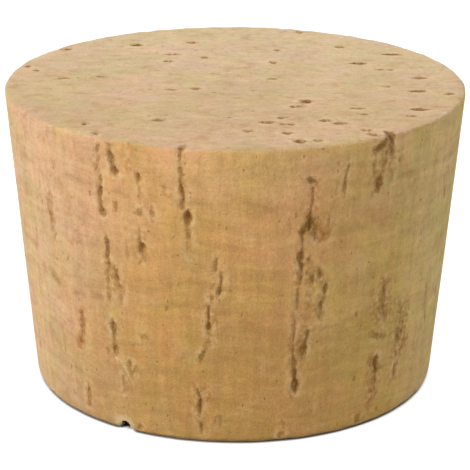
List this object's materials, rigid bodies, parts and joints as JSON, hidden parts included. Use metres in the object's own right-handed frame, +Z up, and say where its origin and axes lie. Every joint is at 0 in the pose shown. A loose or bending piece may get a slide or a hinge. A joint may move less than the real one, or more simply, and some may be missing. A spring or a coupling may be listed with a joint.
{
  "type": "cork stopper",
  "caption": "Tapered stopper of natural cork, a solid round plug from a wide flat top to a narrower flat foot, with bark fissures and pits.",
  "frame": {"origin": "centre of the flat narrow end that the stopper stands on", "axes": "+Z up along the axis of the taper towards the wide end; -Y is the front, the side with the longest fissures; +X to its right"},
  "size_m": [0.057, 0.057, 0.0375],
  "materials": {
    "natural_cork": "matt, ground natural cork with open brown lenticels"
  },
  "bodies": {
    "root": {"stopper": "natural_cork"}
  },
  "joints": []
}
